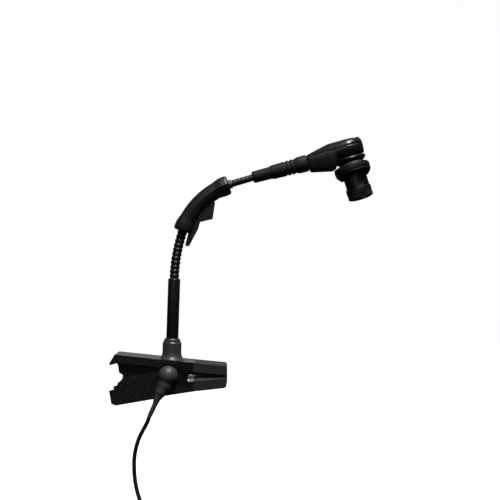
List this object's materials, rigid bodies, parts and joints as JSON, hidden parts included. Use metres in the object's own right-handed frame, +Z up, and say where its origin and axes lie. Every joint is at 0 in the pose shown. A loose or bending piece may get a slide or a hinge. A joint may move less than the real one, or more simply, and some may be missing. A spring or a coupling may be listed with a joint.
{
  "type": "clip-on gooseneck microphone",
  "caption": "Clip-on gooseneck microphone: a sprung clamp with rubber jaws, a flexible neck with a push-fit bridge, and a small capsule in a shock mount, on a thin cable with a plug.",
  "frame": {"origin": "centre of the rim seat between the jaws, on the clamp's mid-plane", "axes": "+X along the jaws to their tips, +Y across the clamp along the rim, +Z up along the neck"},
  "size_m": [0.1307, 0.033, 0.2755],
  "materials": {
    "lever_plastic": "moulded black plastic, fine grain",
    "jaw_rubber": "soft matt rubber",
    "turned_steel": "turned steel",
    "spring_wire": "drawn wire",
    "dark_collar": "black satin metal",
    "neck_steel": "wound steel core",
    "neck_sleeve": "shrunk black sleeve",
    "neck_ribs": "black ribbed neck",
    "bridge_plastic": "satin black plastic",
    "tab_plastic": "smoky brown plastic",
    "grip_rubber": "soft matt rubber",
    "grip_plastic": "moulded liner",
    "arm_plastic": "satin dark grey plastic",
    "lid_plastic": "glossy black plastic",
    "cage_plastic": "glossy black plastic",
    "ball_metal": "turned aluminium",
    "ring_rubber": "elastomer",
    "capsule_metal": "grey lacquered can",
    "grille_mesh": "black woven mesh",
    "grille_cloth": "fine black cloth",
    "circuit_board": "green board",
    "gold_plate": "gold plated",
    "lead_jacket": "red insulated wire",
    "cable_jacket": "black cable jacket",
    "boot_rubber": "soft grey rubber",
    "boss_rubber": "moulded grey rubber, satin",
    "tie_strap": "woven strap",
    "plug_metal": "dark plated metal",
    "plug_insert": "moulded insert"
  },
  "bodies": {
    "clamp": {"upper_lever": "lever_plastic", "neck_boss": "boss_rubber", "pivot_pin": "turned_steel", "pin_cap": "lever_plastic", "torsion_spring": "spring_wire", "upper_jaw_pad": "jaw_rubber", "neck_collar": "dark_collar", "neck_ferrule": "turned_steel", "set_screw": "dark_collar", "neck_core": "neck_steel", "stiff_sleeve": "neck_sleeve", "signal_lead": "lead_jacket", "cable_boot": "boot_rubber", "cable_lead": "cable_jacket", "cable_coil": "cable_jacket", "cable_tie": "tie_strap", "cable_tail": "cable_jacket", "plug_boot": "boot_rubber", "plug_shell": "plug_metal", "plug_insert": "plug_insert", "plug_contacts": "gold_plate", "latch_spring": "spring_wire"},
    "lower_jaw": {"lower_lever": "lever_plastic", "lower_jaw_pad": "jaw_rubber"},
    "neck_1": {"flex_link_1": "neck_ribs"},
    "neck_2": {"flex_link_2": "neck_ribs"},
    "neck_3": {"flex_link_3": "neck_ribs"},
    "neck_4": {"flex_link_4": "neck_ribs"},
    "neck_5": {"flex_link_5": "neck_ribs"},
    "neck_6": {"flex_link_6": "neck_ribs"},
    "neck_7": {"flex_link_7": "neck_ribs"},
    "bridge": {"bridge_core": "neck_steel", "brace_channel": "bridge_plastic", "brace_keeper": "tab_plastic", "bridge_lead": "lead_jacket"},
    "top_1": {"thin_link_1": "neck_ribs"},
    "top_2": {"thin_link_2": "neck_ribs"},
    "top_3": {"thin_link_3": "neck_ribs"},
    "grip": {"neck_end_ferrule": "turned_steel", "grip_core": "grip_plastic", "grip_sleeve": "grip_rubber", "grip_lead": "lead_jacket"},
    "head": {"arm_housing": "arm_plastic", "arm_lid": "lid_plastic", "lid_screws": "dark_collar", "head_board": "circuit_board"},
    "turret": {"swivel_cup": "cage_plastic", "swivel_ring": "turned_steel"},
    "capsule": {"swivel_ball": "ball_metal", "shock_ring": "ring_rubber", "capsule_cage": "cage_plastic", "capsule_can": "capsule_metal", "can_collars": "ring_rubber", "front_grille": "grille_mesh", "grille_cloth": "grille_cloth", "diaphragm_ring": "gold_plate", "backplate": "gold_plate", "capsule_board": "circuit_board"},
    "latch": {"plug_latch": "plug_metal"}
  },
  "joints": [
    {"name": "clamp_open", "type": "hinge", "parent": "clamp", "child": "lower_jaw", "pos_m": [-0.0104, 0, 0.0005], "axis": [0, 1, 0], "range_deg": [0, 15], "stiffness_Nm_per_rad": 0.1, "springref_deg": -57.3, "deforming": ["torsion_spring"]},
    {"name": "neck_pitch_1", "type": "hinge", "parent": "clamp", "child": "neck_1", "pos_m": [-0.00805, 0, 0.04838], "axis": [0, 1, 0], "range_deg": [-8, 8]},
    {"name": "neck_side_1", "type": "hinge", "parent": "neck_1", "child": "neck_2", "pos_m": [-0.00787, 0, 0.05166], "axis": [0.9971, 0, -0.0758], "range_deg": [-8, 8]},
    {"name": "neck_pitch_2", "type": "hinge", "parent": "neck_2", "child": "neck_3", "pos_m": [-0.00755, 0, 0.05494], "axis": [0, 1, 0], "range_deg": [-8, 8]},
    {"name": "neck_side_2", "type": "hinge", "parent": "neck_3", "child": "neck_4", "pos_m": [-0.00711, 0, 0.05819], "axis": [0.9882, 0, -0.1535], "range_deg": [-8, 8]},
    {"name": "neck_pitch_3", "type": "hinge", "parent": "neck_4", "child": "neck_5", "pos_m": [-0.00654, 0, 0.06143], "axis": [0, 1, 0], "range_deg": [-8, 8]},
    {"name": "neck_side_3", "type": "hinge", "parent": "neck_5", "child": "neck_6", "pos_m": [-0.00585, 0, 0.06464], "axis": [0.9731, 0, -0.2303], "range_deg": [-8, 8]},
    {"name": "neck_pitch_4", "type": "hinge", "parent": "neck_6", "child": "neck_7", "pos_m": [-0.00503, 0, 0.06782], "axis": [0, 1, 0], "range_deg": [-8, 8]},
    {"name": "neck_side_4", "type": "hinge", "parent": "neck_7", "child": "bridge", "pos_m": [-0.00409, 0, 0.07097], "axis": [0.9522, 0, -0.3056], "range_deg": [-8, 8]},
    {"name": "top_pitch_1", "type": "hinge", "parent": "bridge", "child": "top_1", "pos_m": [0.0211, 0, 0.09551], "axis": [0, 1, 0], "range_deg": [-8, 8]},
    {"name": "top_side_1", "type": "hinge", "parent": "top_1", "child": "top_2", "pos_m": [0.0243, 0, 0.09646], "axis": [0.284, 0, -0.9588], "range_deg": [-8, 8]},
    {"name": "top_pitch_2", "type": "hinge", "parent": "top_2", "child": "top_3", "pos_m": [0.0275, 0, 0.09741], "axis": [0, 1, 0], "range_deg": [-8, 8]},
    {"name": "top_side_2", "type": "hinge", "parent": "top_3", "child": "grip", "pos_m": [0.03069, 0, 0.09835], "axis": [0.284, 0, -0.9588], "range_deg": [-8, 8]},
    {"name": "head_roll", "type": "hinge", "parent": "grip", "child": "head", "pos_m": [0.05861, 0, 0.10584], "axis": [0.9659, 0, 0.2588], "range_deg": [-90, 90]},
    {"name": "capsule_turn", "type": "hinge", "parent": "head", "child": "turret", "pos_m": [0.0785, 0, 0.11117], "axis": [-0.2588, 0, 0.9659], "range_deg": [-90, 90]},
    {"name": "capsule_tilt", "type": "hinge", "parent": "turret", "child": "capsule", "pos_m": [0.08006, 0, 0.10538], "axis": [0, 1, 0], "range_deg": [-8, 8]},
    {"name": "latch_press", "type": "slide", "parent": "clamp", "child": "latch", "axis": [-1, 0, 0], "range_m": [0, 0.0004], "stiffness_N_per_m": 100, "springref_m": -0.005, "deforming": ["latch_spring"]}
  ]
}
